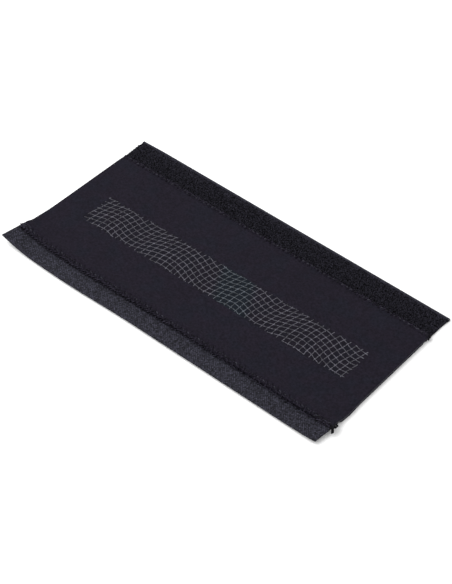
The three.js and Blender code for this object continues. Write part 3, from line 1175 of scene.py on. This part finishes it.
@dataclass
class LoopTape:
    """The far tape: a web with a brushed pile on top and a woven selvage along its outer edge."""

    lie: Lie
    width: float = 25.0
    lap: float = 4.0
    backing: float = 0.7
    crushed: float = 0.3
    pile: float = 1.7
    selvage: float = 1.9
    selvage_height: float = 1.8
    pile_gap: float = 0.9
    ground: float = 0.55
    tuft_height: float = 0.14
    worn: float = 0.42
    worn_width: float = 5.0
    edge_round: float = 0.2
    edge_lift: float = 0.12
    lift_reach: float = 0.3
    loop_count: int = 7300
    loop_radius: float = 0.12
    loop_lean: float = 0.35
    loop_heights: tuple[float, float] = (0.75, 1.15)
    loop_spans: tuple[float, float] = (0.3, 0.62)
    loop_root: float = 0.15
    pulled_x: float = 1.6
    pulled_at_seam: float = 1.2
    pulled_y: float = 0.5
    right_pull: float = 0.9
    pull_reach: float = 18.0

    @property
    def outer(self) -> float:
        """Y of the tape's outer edge."""
        return self.lie.far - self.lap + self.width

    @property
    def pile_edges(self) -> tuple[float, float]:
        """Y of the pile's inner edge and of its outer edge, where the selvage starts."""
        return self.lie.far + self.pile_gap, self.outer - self.selvage

    def pile_share(self, x: np.ndarray, y: np.ndarray) -> np.ndarray:
        """How tall the pile stands, as a share, 0 on the selvage and under the panel.

        Args:
            x: Places along the guard.
            y: Places across it.

        Returns:
            The share at each place.
        """
        start, end = self.pile_edges
        across = ease(y, start - 0.3, start + 0.4) * (1 - ease(y, end - 0.5, end + 0.1))
        worn = 1 - self.worn * ease(y, end - self.worn_width, end)
        return across * worn * ease(self.lie.right - np.abs(x), -0.1, 0.4)

    def top(self, x: np.ndarray, y: np.ndarray) -> np.ndarray:
        """Height of the felted ground of the pile, and of the web where there is none.

        Args:
            x: Places along the guard.
            y: Places across it.

        Returns:
            The height at each place.
        """
        tufts = np.sin(x * 2.9 + 2 * np.sin(y * 1.7)) * np.sin(y * 3.1 + 2 * np.sin(x * 1.3))
        edge = self.outer - y
        raised = self.selvage_height - self.backing - self.crushed
        cord = raised * (1 - ease(edge, self.selvage - 0.3, self.selvage + 0.4))
        height = self.backing + self.crushed + cord - self.edge_round * rounding(edge, self.edge_round)
        ground = (self.pile - self.crushed) * self.ground + self.tuft_height * tufts
        return height + self.pile_share(x, y) * ground

    def bottom(self, x: np.ndarray, y: np.ndarray) -> np.ndarray:
        """Height of the web's underside."""
        return np.zeros_like(x) + self.edge_lift * (1 - ease(self.outer - y, 0, self.lift_reach))

    def pulled(self, points: np.ndarray) -> np.ndarray:
        """Pulls both far corners outwards along the guard, and the left one a little in across it.

        Args:
            points: Rows of X, Y and Z.

        Returns:
            The moved rows.
        """
        x, y, z = points.T
        outwards = np.clip((y - self.lie.far) / (self.width - self.lap), 0, 1)
        across = self.pulled_at_seam + (self.pulled_x - self.pulled_at_seam) * outwards
        left_end = 1 - ease(x + self.lie.right, 0, self.pull_reach)
        right_end = ease(x, self.lie.right - self.pull_reach, self.lie.right)
        x = x - across * left_end + self.right_pull * outwards**4 * right_end
        y = y - self.pulled_y * outwards**2 * left_end
        return np.stack([x, y, z], axis=1)

    def web(self) -> bpy.types.Object:
        """Builds the web and the pile's ground.

        Returns:
            The web.
        """
        right = self.lie.right
        xs = steps_between([-right, -right + 1, right - 1, right], [0.2, 0.55, 0.2])
        inner = self.outer - self.width
        start, end = self.pile_edges
        ys = steps_between([inner, start - 0.4, end - 0.8, self.outer], [1.5, 0.55, 0.2])
        shape = plate(xs, ys, self.top, self.bottom)
        shape.marks["selvage"] = ease(shape.points[:, 1], end - 0.1, end + 0.3)
        shape.points = self.pulled(shape.points)
        finish = PileFinish(inner=self.lie.origin_y + start, outer=self.lie.origin_y + self.outer)
        cut = FoamFinish("cut_tape", foam=(0.029, 0.028, 0.035))
        web = shape.piece("loop_tape_web", self.lie, [finish.material(), cut.material()])
        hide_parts("loop_tape")
        return web

    def loops(self) -> bpy.types.Object:
        """Builds the pile's loops: leaning arches, scattered over the ground.

        Returns:
            The loops, as one piece.
        """
        draw = np.random.default_rng(11)
        start, end = self.pile_edges
        count = self.loop_count
        x = draw.uniform(-self.lie.right + 0.3, self.lie.right - 0.3, count)
        y = draw.uniform(start + 0.1, end - 0.2, count)
        turn = draw.uniform(0, TURN, count)
        lean = draw.normal(0, self.loop_lean, (count, 2))
        tall = (self.pile - self.crushed) * (1 - self.ground) * self.pile_share(x, y)
        height = draw.uniform(*self.loop_heights, count) * tall + 0.1
        span = draw.uniform(*self.loop_spans, count)
        base = self.top(x, y)
        angles = np.linspace(0, math.pi, 5)
        paths = np.zeros((count, len(angles), 3))
        for i, angle in enumerate(angles):
            out, up = -math.cos(angle), math.sin(angle)
            paths[:, i, 0] = x + span * out * np.cos(turn) + lean[:, 0] * up
            paths[:, i, 1] = y + span * out * np.sin(turn) + lean[:, 1] * up
            paths[:, i, 2] = base - self.loop_root + (height + self.loop_root) * up
        limit = self.lie.right + 0.1
        paths[:, :, 0] = np.clip(paths[:, :, 0], -limit, limit)
        shape = sweep(paths, self.loop_radius, 3)
        shape.points = self.pulled(shape.points)
        finish = FibreFinish(
            "pile_fibre", (0.0170, 0.0163, 0.0225), spot=0.95, contrast=0.98, roughness=0.8, specular=0.12
        )
        loops = shape.piece("pile_loops", self.lie, [finish.material()])
        return loops

    def build(self) -> list[bpy.types.Object]:
        """Builds and dresses the tape, with its loops on it.

        Returns:
            The web and the loops.
        """
        web, loops = self.web(), self.loops()
        self.width * MM
        return [web, loops]


# Seams


@dataclass
class Seam:
    """An overcast seam: paired legs over the edge, a bead between two stitches and strands along the edge."""

    lie: Lie
    panel: Panel
    line: StitchLine
    foot: float
    dark: FibreFinish
    light: FibreFinish
    body: FibreFinish
    knot: FibreFinish
    thread: float
    bead: float
    bead_inside: tuple[float, float]
    bead_along: float
    bead_lift: float
    wrap: tuple[float, float]
    tail: float
    tails: tuple[Tail, ...]
    coils: tuple[Tail, ...]
    level_from: float = 0.6
    lift: float = 0.3
    leg_offsets: tuple[float, float] = (-0.3, 0.35)
    leg_loose: tuple[float, float] = (0.14, 0.1)
    bead_loose: tuple[float, float] = (0.12, 0.06)
    strand_loose: float = 0.22
    sides: int = 8
    plies: float = 0.12
    tail_plies: float = 0.14

    def height(self, x: np.ndarray, inside: np.ndarray) -> np.ndarray:
        """Height of the panel's face under a thread, held level past the rounded edge.

        Args:
            x: Places along the guard.
            inside: Distances in from the panel's edge.

        Returns:
            The height at each place.
        """
        y = np.asarray(self.line.across(np.maximum(inside, self.level_from)))
        x, y = np.broadcast_arrays(x, y)
        return self.panel.top(x.ravel(), y.ravel()).reshape(x.shape)

    def legs(self, offset: float) -> Shape:
        """One leg for each stitch: from its needle hole over the edge to the tape.

        Args:
            offset: How far along the seam the legs are from the stitches' middles.

        Returns:
            The legs.
        """
        draw = np.random.default_rng(3)
        x = self.line.stitches()[:, None]
        deep = self.line.inside
        # From the hole up onto the panel's face, over its edge and down to the tape.
        inside = np.array([deep + 0.1, deep - 0.1, deep * 0.7, deep * 0.4, 0.9, 0.1, -0.5, -0.75, -0.7])[None]
        raised = np.array([-0.6, -0.1, 0.12, 0.2, 0.2, 0.12])
        loose_along, loose_across = self.leg_loose
        along = x + offset * np.clip(inside / deep + 0.3, 0.3, 1) + draw.normal(0, loose_along, x.shape)
        along = along + self.line.leaning(np.maximum(inside, -0.4))
        spread = draw.normal(0, loose_across, x.shape) * (inside > 1)
        paths = np.zeros((len(x), inside.size, 3))
        paths[:, :, 0] = along
        paths[:, :, 1] = self.line.across(inside + spread)
        heights = self.height(along, inside + spread)
        paths[:, :6, 2] = heights[:, :6] + raised
        for i, share in zip((6, 7, 8), (0.72, 0.38, 0.06)):
            paths[:, i, 2] = self.foot + self.thread + (heights[:, 5] - self.foot) * share
        return sweep(paths, self.thread, self.sides, self.plies, twist=0.22).dressed(Thread.BODY)

    def beads(self) -> Shape:
        """The short lighter thread that shows between two stitches.

        Returns:
            The beads.
        """
        draw = np.random.default_rng(4)
        start = self.line.stitches()[:-1, None]
        share = np.array([0.0, 0.2, 0.5, 0.8, 1.0])[None]
        inner, outer = self.bead_inside
        loose, loose_up = self.bead_loose
        inside = inner + (outer - inner) * share + draw.normal(0, loose, start.shape)
        x = start + self.line.pitch * (0.5 + self.bead_along * (share - 0.5)) + self.line.leaning(inside)
        paths = np.zeros((len(start), share.size, 3))
        paths[:, :, 0] = x + draw.normal(0, loose, start.shape)
        paths[:, :, 1] = self.line.across(inside)
        lift = np.array([-0.3, 0.12, 0.26, 0.12, -0.3]) + self.bead_lift
        paths[:, :, 2] = self.height(x, inside) + lift + draw.normal(0, loose_up, start.shape)
        return sweep(paths, self.bead, self.sides, self.plies, twist=0.25).dressed(Thread.LIGHT)

    def strand(
        self, phase: float, middle: float, swing: float, low: float, high: float, slot: Thread = Thread.DARK
    ) -> Shape:
        """One strand that runs along the edge in long coils.

        Args:
            phase: Where its coil starts, in turns.
            middle: Its middle's distance in from the edge.
            swing: How far it swings across.
            low: Lowest height of its middle line.
            high: Highest height of its middle line.
            slot: Its material slot.

        Returns:
            The strand.
        """
        start, end = -self.lie.right - 0.1, self.lie.right + 0.9
        x = np.arange(start, end, self.line.pitch / 10)
        turn = TURN * (x / self.line.pitch + phase)
        draw = np.random.default_rng(int(phase * 100) + 5)
        knots = np.arange(start, end + 2, 2)
        wander = np.interp(x, knots, draw.normal(0, self.strand_loose, len(knots)))
        paths = np.zeros((1, len(x), 3))
        paths[0, :, 0] = x + 0.4 * np.sin(turn + wander * 3)
        paths[0, :, 1] = self.line.across(middle + swing * np.sin(turn) + wander)
        paths[0, :, 2] = (low + high) / 2 + (high - low) / 2 * np.cos(turn) + wander * 0.4
        return sweep(paths, self.thread * 0.95, self.sides, self.plies, twist=0.13).dressed(slot)

    def cut_tails(self) -> Shape:
        """The cut thread ends, and the loose coils near the seam's ends, which take both threads in turn.

        Returns:
            The cut ends and the coils.
        """
        shape = Shape()
        threads = [(tail, Thread.KNOT) for tail in self.tails]
        threads += zip(self.coils, cycle((Thread.DARK, Thread.LIGHT)))
        for route, slot in threads:
            points = np.array(route, float)
            share = np.linspace(0, 1, len(points))
            fine = np.linspace(0, 1, 4 * len(points))
            smooth = np.stack([np.interp(fine, share, points[:, axis]) for axis in range(3)], axis=1)
            for _ in range(2):
                smooth[1:-1] = (smooth[:-2] + 2 * smooth[1:-1] + smooth[2:]) / 4
            tube = sweep(smooth[None], self.tail, self.sides, self.tail_plies, twist=0.15)
            shape.add(tube.dressed(slot))
        return shape

    def build(self) -> bpy.types.Object:
        """Builds and dresses the seam.

        Returns:
            The seam's stitches, as one piece.
        """
        low = self.foot + self.lift
        high = float(self.height(np.zeros(1), np.array([1.0]))[0]) + self.lift
        middle, swing = self.wrap
        shape = Shape()
        for offset in self.leg_offsets:
            shape.add(self.legs(offset))
        shape.add(self.beads())
        shape.add(self.strand(0.0, middle, swing, low, high))
        shape.add(self.strand(0.5, middle, swing, low, high))
        shape.add(self.strand(0.25, middle + 0.6, swing * 0.5, high - 0.15, high + 0.05, Thread.BODY))
        shape.add(self.strand(0.75, middle - swing * 0.7, swing * 0.4, low, low + 0.5))
        shape.add(self.cut_tails())
        word = self.line.side.name.lower()
        finishes = [finish.material() for finish in (self.dark, self.light, self.body, self.knot)]
        seam = shape.piece(f"{word}_seam_stitches", self.lie, finishes)
        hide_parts(f"{word}_seam_thread")
        return seam


# Printed net


@dataclass
class PrintedNet:
    """A square net of ink lines, bent by sine waves and cut off at a rectangle."""

    lie: Lie
    panel: Panel
    turn: float = math.radians(0.35)
    pitch: tuple[float, float] = (4.083, 4.065)
    line: float = 0.58
    offset: tuple[float, float] = (0.88, 3.36)
    skew: float = 0.0034
    wave_period: float = 105.0
    wave_heights: tuple[float, ...] = (2.32, 2.72, 0.55)
    wave_starts: tuple[float, ...] = (42.5, 5.3, 11.4)
    sway: float = 0.16
    lean: float = 3.74
    lean_period: float = 96.0
    lean_from: float = 8.0
    wander: float = 0.12
    ink: float = 0.1
    sunk: float = 0.02
    crossing_fall: float = 3.2
    spans: int = 5

    def point(self, column: float, row: float) -> np.ndarray:
        """A point of the net.

        Args:
            column: Its place along the net, in cells.
            row: Its place across the net, in cells.

        Returns:
            X and Y from the print's middle.
        """
        u, v = column * self.pitch[0], row * self.pitch[1]
        swell = 0.0
        for count, (height, start) in enumerate(zip(self.wave_heights, self.wave_starts), start=1):
            swell += height * math.sin(TURN * (u - start) * count / self.wave_period)
        bend = self.lean * math.sin(TURN * (v - self.lean_from) / self.lean_period) + self.sway * swell
        loose = [math.sin(3.7 * column + 2.3 * row), math.sin(2.9 * row - 3.1 * column)]
        x = u + self.offset[0] + bend + self.wander * loose[0]
        return np.array([x, v + self.offset[1] + swell - self.skew * u + self.wander * loose[1]])

    def shows(self, point: np.ndarray) -> bool:
        """Whether a point is inside the print's rectangle."""
        half = self.panel.print_half
        return abs(point[0]) <= half[0] and abs(point[1]) <= half[1]

    def reach(self, column: int, row: int, du: int, dv: int) -> float:
        """How far a line goes from a crossing before it leaves the print.

        Args:
            column: The crossing's column.
            row: Its row.
            du: The line's step along the columns.
            dv: Its step along the rows.

        Returns:
            The share of the way to the next crossing.
        """
        inner, outer = 0.0, 1.0
        for _ in range(12):
            share = (inner + outer) / 2
            if self.shows(self.point(column + du * share, row + dv * share)):
                inner = share
            else:
                outer = share
        return inner

    def sides(self, column: float, row: float, along: tuple[int, int]) -> tuple[np.ndarray, np.ndarray]:
        """Both sides of a line at a point of the net.

        Args:
            column: The point's place along the net, in cells.
            row: Its place across the net, in cells.
            along: The line's direction in cells.

        Returns:
            The points to the right and to the left of the line.
        """
        step = 0.02
        ahead = self.point(column + along[0] * step, row + along[1] * step)
        behind = self.point(column - along[0] * step, row - along[1] * step)
        way = (ahead - behind) / np.linalg.norm(ahead - behind)
        off = np.array([-way[1], way[0]]) * self.line / 2
        middle = self.point(column, row)
        return middle - off, middle + off

    def stops(self, column: int, row: int, way: tuple[int, int], joined: bool) -> list[float]:
        """Where a line from a crossing has its points, as shares of the way to the next crossing.

        Args:
            column: The crossing's column.
            row: Its row.
            way: The line's step in columns and rows.
            joined: Whether the next crossing is in the print too.

        Returns:
            The shares: none for a line that would end before it is longer than it is wide.
        """
        shares = [i / self.spans for i in range(1, self.spans)]
        if joined:
            return shares
        reach = self.reach(column, row, *way)
        if reach * self.pitch[1] < self.line:
            return []
        return [share for share in shares if share < reach - 0.05] + [reach]

    def cells(self) -> list[tuple[int, int]]:
        """Every column and row whose crossing may be in the print.

        Returns:
            The columns and rows, in order.
        """
        half = self.panel.print_half
        waves = sum(self.wave_heights)
        bend = self.lean + self.sway * waves + abs(self.offset[0])
        columns = math.ceil((half[0] + bend) / self.pitch[0])
        rows = math.ceil((half[1] + waves + abs(self.offset[1]) + self.skew * half[0]) / self.pitch[1])
        return [(c, r) for c in range(-columns, columns + 1) for r in range(-rows, rows + 1)]

    def outline(self) -> tuple[list[np.ndarray], list[tuple[int, ...]], list[float]]:
        """Lays the net out flat.

        Returns:
            Its points, its four-sided faces and each point's nearness to a crossing.
        """
        points: list[np.ndarray] = []
        faces: list[tuple[int, ...]] = []
        near: list[float] = []
        crossings: dict[tuple[int, int], int] = {}
        for column, row in self.cells():
            middle = self.point(column, row)
            beside = [self.point(column + du, row + dv) for du, dv in FOUR_WAYS]
            if not self.shows(middle) or not any(self.shows(point) for point in beside):
                continue
            down, up = self.sides(column, row, (1, 0))
            right, left = self.sides(column, row, (0, 1))
            first = len(points)
            crossings[column, row] = first
            points += [a + b - middle for a, b in ((right, up), (left, up), (left, down), (right, down))]
            near += [1.0] * 4
            faces.append((first, first + 1, first + 2, first + 3))
        for (column, row), first in crossings.items():
            for d, (du, dv) in enumerate(FOUR_WAYS):
                other = crossings.get((column + du, row + dv))
                if other is not None and d > 1:
                    continue
                pair = (first + (d + 3) % 4, first + d)
                for share in self.stops(column, row, (du, dv), other is not None):
                    points.extend(self.sides(column + du * share, row + dv * share, (du, dv)))
                    near += [max(0.0, 1 - self.crossing_fall * min(share, 1 - share))] * 2
                    added = (len(points) - 2, len(points) - 1)
                    faces.append((pair[0], added[0], added[1], pair[1]))
                    pair = added
                if other is not None:
                    faces.append((pair[0], other + (d + 2) % 4, other + (d + 1) % 4, pair[1]))
        return points, faces, near

    def build(self) -> bpy.types.Object:
        """Builds and dresses the print.

        Returns:
            The net.
        """
        points, faces, near = self.outline()
        flat = np.array(points)
        cos, sin = math.cos(self.turn), math.sin(self.turn)
        x = flat[:, 0] * cos - flat[:, 1] * sin + self.panel.print_middle[0]
        y = flat[:, 0] * sin + flat[:, 1] * cos + self.panel.print_middle[1]
        base = self.panel.top(x, y)
        upper = np.stack([x, y, base + self.ink], axis=1)
        lower = np.stack([x, y, base - self.sunk], axis=1)
        count = len(flat)
        edges = {(face[i], face[(i + 1) % 4]) for face in faces for i in range(4)}
        walls = [(p, p + count, q + count, q) for p, q in sorted(edges) if (q, p) not in edges]
        under = [tuple(i + count for i in reversed(face)) for face in faces]
        closed = faces + under + walls
        shape = Shape(np.vstack([upper, lower]), closed, [0] * len(closed), {"crossing": np.array(near * 2)})
        net = shape.piece("net_lines", self.lie, [InkFinish().material()])
        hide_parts("net_print")
        return net


# Studio


@dataclass
class Studio:
    """The pale floor, the soft light and the camera."""

    aim_x: float = 7.33
    aim_y: float = -5.79
    azimuth: float = -52.8715
    elevation: float = 44.9720
    distance: float = 1028.0
    roll: float = 3.5629
    lens: float = 101.474
    floor_size: float = 8.0
    floor_gap: float = 0.00005
    floor_colour: Colour = (0.95, 0.95, 0.95)
    sky: float = 0.95
    key_power: float = 11.0
    key_size: float = 1.05
    key_place: Point = (-0.6, -0.4, 0.9)

    def camera(self) -> bpy.types.Object:
        """Puts the camera where the photograph was taken from.

        Returns:
            The camera.
        """
        azimuth, elevation = math.radians(self.azimuth), math.radians(self.elevation)
        level = math.cos(elevation)
        towards = Vector((math.cos(azimuth) * level, math.sin(azimuth) * level, math.sin(elevation)))
        aim = Vector((self.aim_x, self.aim_y, 0)) * MM
        data = bpy.data.cameras.new("camera")
        data.lens = self.lens
        data.clip_start = 0.05
        camera = bpy.data.objects.new("camera", data)
        bpy.context.scene.collection.objects.link(camera)
        turn = (-towards).to_track_quat("-Z", "Y").to_matrix().to_4x4()
        roll = Matrix.Rotation(math.radians(self.roll), 4, "Z")
        camera.matrix_world = Matrix.Translation(aim + towards * self.distance * MM) @ turn @ roll
        bpy.context.scene.camera = camera
        return camera

    def floor(self) -> bpy.types.Object:
        """Lays the pale floor.

        Returns:
            The floor.
        """
        half = self.floor_size / 2
        mesh = bpy.data.meshes.new("floor")
        corners = [(-half, -half, 0), (half, -half, 0), (half, half, 0), (-half, half, 0)]
        mesh.from_pydata(corners, [], [(0, 1, 2, 3)])
        nodes = Nodes("pale_floor", roughness=1.0, specular=0.0)
        nodes.shader.inputs["Base Color"].default_value = (*self.floor_colour, 1.0)
        mesh.materials.append(nodes.material)
        floor = bpy.data.objects.new("floor", mesh)
        floor.location.z = -self.floor_gap
        bpy.context.scene.collection.objects.link(floor)
        return floor

    def light(self, name: str, place: Point, power: float, size: float) -> bpy.types.Object:
        """Hangs one soft square light that faces the middle of the floor.

        Args:
            name: The light's name.
            place: Where it hangs, in metres.
            power: Its power in watts.
            size: The length of its side in metres.

        Returns:
            The light.
        """
        data = bpy.data.lights.new(name, "AREA")
        data.energy = power
        data.size = size
        light = bpy.data.objects.new(name, data)
        light.location = place
        light.rotation_euler = (-Vector(place)).to_track_quat("-Z", "Y").to_euler()
        bpy.context.scene.collection.objects.link(light)
        return light

    def build(self) -> None:
        """Builds the studio."""
        scene = bpy.context.scene
        scene.view_settings.view_transform = "Standard"
        world = bpy.data.worlds.new("soft_room")
        world.use_nodes = True
        background = world.node_tree.nodes["Background"]
        background.inputs["Color"].default_value = (1.0, 1.0, 1.0, 1.0)
        background.inputs["Strength"].default_value = self.sky
        scene.world = world
        self.camera()
        self.floor()
        self.light("key_light", self.key_place, self.key_power, self.key_size)


def from_end(end: float, *routes: Tail) -> tuple[Tail, ...]:
    """Moves threads' routes to an end of the guard.

    Args:
        end: X of the end.
        routes: The routes, with X measured from that end.

    Returns:
        The routes on the pattern.
    """
    return tuple(tuple((x + end, y, z) for x, y, z in route) for route in routes)


def seams(lie: Lie, panel: Panel, hook: HookTape, loop: LoopTape) -> list[Seam]:
    """Describes both seams.

    Args:
        lie: How the pattern lies.
        panel: The panel they are sewn to.
        hook: The near tape.
        loop: The far tape.

    Returns:
        The near seam and the far seam.
    """
    hook_tails = from_end(
        lie.right,
        (
            (-0.9, -49.8, 3.2), (0.6, -49.1, 3.5), (1.6, -48.4, 3.3),
            (2.0, -47.4, 3.0), (1.6, -46.2, 2.7), (0.6, -46.6, 2.8),
        ),
        ((-0.5, -50.2, 2.8), (0.9, -49.5, 2.8), (1.8, -48.6, 2.4), (1.0, -47.5, 2.3)),
        ((-0.9, -50.6, 2.7), (0.4, -50.9, 3.0), (1.4, -50.6, 2.8), (0.6, -49.6, 3.3)),
        ((-0.6, -50.9, 2.4), (0.9, -51.1, 2.5), (1.8, -51.9, 2.0), (2.2, -53.1, 1.5)),
        ((-0.5, -50.6, 2.8), (1.0, -50.8, 2.7), (2.0, -51.4, 2.3), (2.7, -52.3, 1.8)),
        ((-0.4, -50.3, 3.4), (0.8, -51.0, 3.1), (1.4, -51.7, 2.6), (1.5, -52.4, 2.1)),
        ((-0.7, -49.4, 3.6), (0.7, -50.2, 3.5), (1.5, -50.8, 2.9), (1.7, -51.5, 2.4)),
    )
    left_coils = from_end(
        -lie.right,
        ((0.7, -50.0, 2.9), (1.1, -48.7, 4.2), (2.6, -47.1, 4.5), (4.6, -46.7, 4.3), (6.6, -47.1, 3.9)),
        ((0.5, -50.4, 2.8), (1.3, -49.8, 4.0), (3.2, -48.6, 4.5), (5.6, -48.0, 4.4), (8.2, -48.5, 4.0)),
        ((0.8, -50.6, 3.2), (3.4, -49.9, 4.2), (6.2, -49.6, 4.3), (9.6, -50.0, 3.9)),
    )
    right_coils = from_end(
        lie.right,
        ((-13.5, -50.1, 3.6), (-12.2, -49.0, 4.2), (-9.8, -48.9, 4.2), (-8.4, -50.0, 3.6)),
        ((-8.2, -50.3, 3.5), (-6.6, -49.2, 4.2), (-4.4, -49.4, 4.2), (-3.2, -50.4, 3.5)),
        ((-4.6, -49.8, 3.8), (-2.8, -49.0, 4.2), (-1.2, -49.2, 4.1), (0.2, -50.0, 3.2)),
        ((-10.6, -50.6, 3.1), (-7.4, -50.3, 3.8), (-4.0, -50.6, 3.6), (-1.0, -50.7, 3.0)),
    )
    loop_coils = from_end(
        lie.right,
        ((-12.0, 49.7, 2.6), (-9.5, 49.5, 3.0), (-7.0, 49.7, 2.6)),
        ((-10.6, 49.3, 2.7), (-9.8, 48.7, 3.1), (-8.6, 48.9, 3.1), (-7.9, 49.5, 2.7)),
        ((-7.4, 49.8, 2.6), (-5.0, 49.5, 3.0), (-2.8, 49.8, 2.6)),
        ((-6.7, 49.2, 2.7), (-5.9, 48.7, 3.1), (-4.7, 48.9, 3.1), (-4.0, 49.5, 2.7)),
        ((-3.4, 49.8, 2.6), (-1.4, 49.4, 3.0), (0.3, 49.6, 2.5)),
        ((-3.0, 49.3, 2.7), (-2.2, 48.7, 3.1), (-1.0, 48.8, 3.1), (-0.3, 49.3, 2.7)),
    )
    loop_tails = from_end(
        lie.right,
        ((-0.5, 49.6, 2.8), (0.5, 49.2, 2.6), (0.9, 48.4, 2.2), (0.5, 47.8, 1.9)),
        ((-0.4, 49.2, 2.7), (0.4, 48.4, 2.4), (1.0, 47.4, 2.0), (1.1, 46.8, 1.6)),
        ((-0.6, 50.1, 2.4), (0.4, 49.9, 2.4), (0.9, 49.3, 2.1), (0.7, 48.6, 1.9)),
    )
    threads = {
        "dark": FibreFinish("dark_thread", (0.0175, 0.0158, 0.0230), spot=1.2, contrast=0.7),
        "light": FibreFinish(
            "grey_thread", (0.0205, 0.0198, 0.0260), spot=2.6, contrast=0.7, roughness=0.9, specular=0.1
        ),
        "body": FibreFinish("plum_thread", (0.0130, 0.0112, 0.0173), spot=1.4, contrast=0.6),
        "knot": FibreFinish("knotted_thread", (0.0078, 0.0074, 0.0090), spot=1.4, contrast=0.5),
    }
    near_line, far_line = panel.lines
    near = Seam(
        lie, panel, near_line, foot=hook.hook_height + hook.backing, **threads,
        thread=0.32, bead=0.34, bead_inside=(2.1, 1.5), bead_along=0.36, bead_lift=0.1,
        wrap=(-0.4, 0.7), tail=0.5, tails=hook_tails, coils=left_coils + right_coils,
    )
    far = Seam(
        lie, panel, far_line, foot=loop.backing + loop.crushed, **threads,
        thread=0.24, bead=0.5, bead_inside=(1.2, 0.8), bead_along=0.26, bead_lift=0.05,
        wrap=(-0.15, 0.25), tail=0.4, tails=loop_tails, coils=loop_coils,
    )
    return [near, far]


def main() -> None:
    """Builds every piece in order and reports it."""
    logging.basicConfig(level=logging.INFO, format="%(message)s")
    lie = Lie.from_frame()
    Studio().build()
    hook, loop = HookTape(lie), LoopTape(lie)
    near_line = StitchLine(
        Side.HOOK, lie, pitch=4.17, inside=3.6, lean=1.4, pit_width=0.55, pit_length=0.9, pit_depth=0.35
    )
    far_line = StitchLine(
        Side.LOOP, lie, pitch=3.43, inside=2.7, lean=0.8, pit_width=0.6, pit_length=0.55, pit_depth=0.2
    )
    panel = Panel(lie, (near_line, far_line))
    for maker in [panel, hook, loop, *seams(lie, panel, hook, loop), PrintedNet(lie, panel)]:
        made = maker.build()
        for piece in made if isinstance(made, list) else [made]:
            log.info("%s: %d faces", piece.name, len(piece.data.polygons))


if __name__ == "__main__":
    main()
